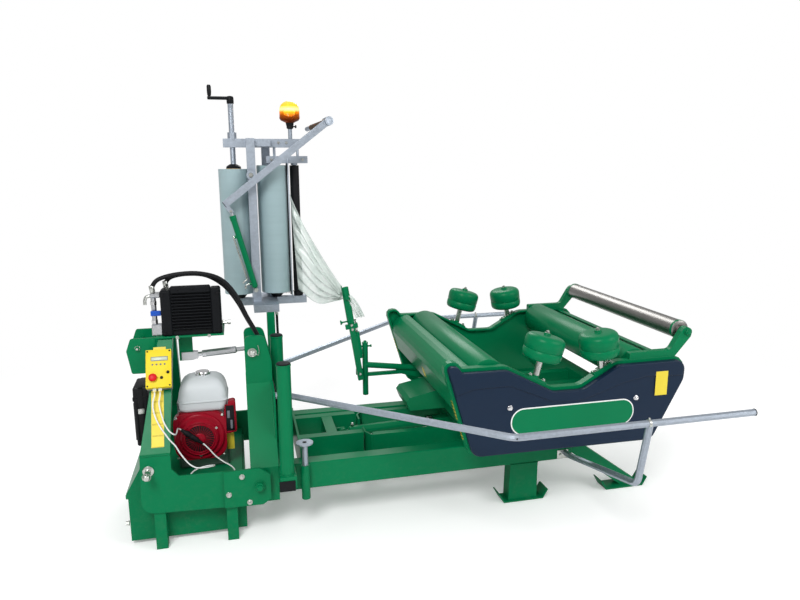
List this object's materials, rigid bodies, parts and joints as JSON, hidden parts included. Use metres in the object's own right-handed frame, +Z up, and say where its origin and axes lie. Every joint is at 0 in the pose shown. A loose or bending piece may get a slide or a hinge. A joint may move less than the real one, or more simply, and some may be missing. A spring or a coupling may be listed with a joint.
{
  "type": "bale wrapper",
  "caption": "Turntable bale wrapper for a tractor's rear linkage, with its own engine-driven hydraulic pack, film dispenser and tipping frame.",
  "frame": {"origin": "bottom centre of the bounding box, on the floor the machine stands on", "axes": "+X from the tractor's end to the tipping end, +Y to the film dispenser's side, +Z up"},
  "size_m": [2.926, 2.274, 2.32],
  "materials": {
    "amber_lens": "clear amber",
    "black_paint": "satin",
    "black_plastic": "satin",
    "black_rubber": "satin",
    "bright_steel": "turned",
    "cast_aluminium": "as cast",
    "clear_film": "clear stretched film",
    "film": "stretched film",
    "galvanised_steel": "dull spangled",
    "green_paint": "gloss",
    "navy_plastic": "semi-gloss",
    "red_paint": "gloss",
    "white_cable": "satin",
    "white_paint": "gloss",
    "yellow_plastic": "satin"
  },
  "bodies": {
    "chassis": {"battery_box": "black_plastic", "beacon": "amber_lens", "cable_control": "white_cable", "cable_engine": "white_cable", "cable_starter": "white_cable", "control_box": "yellow_plastic", "crank_spindle": "galvanised_steel", "dispenser_beam": "galvanised_steel", "dispenser_column": "green_paint", "dispenser_mast": "galvanised_steel", "engine_block": "cast_aluminium", "engine_cowl": "red_paint", "engine_plug": "black_plastic", "film_web": "clear_film", "fuel_tank": "white_paint", "guard_rail_far": "galvanised_steel", "guard_rail_near": "galvanised_steel", "headstock": "green_paint", "hose_lever_back": "black_rubber", "hose_lever_front": "black_rubber", "hose_return": "black_rubber", "hose_supply": "black_rubber", "ladder_frame": "green_paint", "oil_cooler": "black_paint", "oil_tank": "green_paint", "pack_head": "green_paint", "pack_side_far": "green_paint", "pack_side_near": "green_paint", "rear_cross": "green_paint", "return_manifold": "bright_steel", "roll_post_far": "green_paint", "roll_post_near": "green_paint", "side_beam_far": "green_paint", "side_beam_near": "green_paint", "top_link": "bright_steel"},
    "parking_stand": {"parking_stand": "galvanised_steel"},
    "supply_roll": {"supply_roll": "film"},
    "band_roll": {"band_roll": "film"},
    "rubber_roll": {"rubber_roll": "black_rubber"},
    "lever": {"lever": "galvanised_steel"},
    "lever_barrel": {"lever_barrel": "green_paint"},
    "lever_rod": {"lever_rod": "bright_steel"},
    "tip_frame": {"tip_frame": "green_paint"},
    "tip_barrel": {"tip_barrel": "green_paint"},
    "tip_rod": {"tip_rod": "bright_steel"},
    "table": {"apron_left": "green_paint", "apron_right": "green_paint", "cover_far": "navy_plastic", "cover_near": "navy_plastic", "end_plate_far": "green_paint", "end_plate_near": "green_paint", "table_carrier": "green_paint"},
    "roller_left": {"roller_left": "green_paint"},
    "roller_right": {"roller_right": "green_paint"},
    "support_roller": {"support_roller": "bright_steel"},
    "film_clamp": {"film_clamp": "green_paint"},
    "drum_near_left": {"drum_near_left": "green_paint"},
    "drum_near_right": {"drum_near_right": "green_paint"},
    "drum_far_left": {"drum_far_left": "green_paint"},
    "drum_far_right": {"drum_far_right": "green_paint"}
  },
  "joints": [
    {"name": "stand_slide", "type": "slide", "parent": "chassis", "child": "parking_stand", "axis": [0, 0, 1], "range_m": [0, 0.12]},
    {"name": "tip_hinge", "type": "hinge", "parent": "chassis", "child": "tip_frame", "pos_m": [0.941, 0, 0.3], "axis": [0, 1, 0], "range_deg": [0, 35]},
    {"name": "tip_cylinder_swing", "type": "hinge", "parent": "chassis", "child": "tip_barrel", "pos_m": [-0.329, 0, 0.35], "axis": [0, 1, 0], "range_deg": [-30.53, 0]},
    {"name": "tip_cylinder_stroke", "type": "slide", "parent": "tip_barrel", "child": "tip_rod", "axis": [0.9994, 0, 0.0346], "range_m": [0, 0.3018]},
    {"name": "table_turn", "type": "hinge", "parent": "tip_frame", "child": "table", "pos_m": [0.731, 0, 0.418], "axis": [0, 0, 1], "continuous": true},
    {"name": "roller_left_spin", "type": "hinge", "parent": "table", "child": "roller_left", "pos_m": [0.321, 0, 0.812], "axis": [0, 1, 0], "continuous": true},
    {"name": "roller_right_spin", "type": "hinge", "parent": "table", "child": "roller_right", "pos_m": [1.141, 0, 0.812], "axis": [0, 1, 0], "continuous": true},
    {"name": "support_roller_spin", "type": "hinge", "parent": "table", "child": "support_roller", "pos_m": [1.413, 0, 0.99], "axis": [0, 1, 0], "continuous": true},
    {"name": "clamp_hinge", "type": "hinge", "parent": "table", "child": "film_clamp", "pos_m": [-0.178, 0.3, 0.61], "axis": [0, 1, 0], "range_deg": [0, 35]},
    {"name": "lever_hinge", "type": "hinge", "parent": "chassis", "child": "lever", "pos_m": [-0.77, 0.424, 1.805], "axis": [0, 1, 0], "range_deg": [0, 60]},
    {"name": "lever_cylinder_swing", "type": "hinge", "parent": "chassis", "child": "lever_barrel", "pos_m": [-0.771, 0.424, 1.13], "axis": [0, 1, 0], "range_deg": [-5.17, 0]},
    {"name": "lever_cylinder_stroke", "type": "slide", "parent": "lever_barrel", "child": "lever_rod", "axis": [-0.2513, 0, 0.9679], "range_m": [0, 0.236]},
    {"name": "supply_roll_spin", "type": "hinge", "parent": "chassis", "child": "supply_roll", "pos_m": [-0.865, 0.58, 1.09], "axis": [0, 0, 1], "continuous": true},
    {"name": "band_roll_spin", "type": "hinge", "parent": "chassis", "child": "band_roll", "pos_m": [-0.641, 0.58, 1.09], "axis": [0, 0, 1], "continuous": true},
    {"name": "rubber_roll_spin", "type": "hinge", "parent": "chassis", "child": "rubber_roll", "pos_m": [-0.507, 0.58, 1.09], "axis": [0, 0, 1], "continuous": true},
    {"name": "drum_near_left_spin", "type": "hinge", "parent": "table", "child": "drum_near_left", "pos_m": [0.618, -0.62, 1.022], "axis": [0.2475, 0, 0.9689], "continuous": true},
    {"name": "drum_near_right_spin", "type": "hinge", "parent": "table", "child": "drum_near_right", "pos_m": [0.901, -0.62, 1.02], "axis": [-0.1557, 0, 0.9878], "continuous": true},
    {"name": "drum_far_left_spin", "type": "hinge", "parent": "table", "child": "drum_far_left", "pos_m": [0.618, 0.62, 1.022], "axis": [0.2475, 0, 0.9689], "continuous": true},
    {"name": "drum_far_right_spin", "type": "hinge", "parent": "table", "child": "drum_far_right", "pos_m": [0.901, 0.62, 1.02], "axis": [-0.1557, 0, 0.9878], "continuous": true}
  ],
  "couplings": [
    {"joint": "tip_cylinder_swing", "follows": "tip_hinge", "ratio": -0.86073},
    {"joint": "tip_cylinder_stroke", "follows": "tip_hinge", "m_per_rad": 0.49072},
    {"joint": "lever_cylinder_swing", "follows": "lever_hinge", "ratio": -0.07945},
    {"joint": "lever_cylinder_stroke", "follows": "lever_hinge", "m_per_rad": 0.22341}
  ]
}
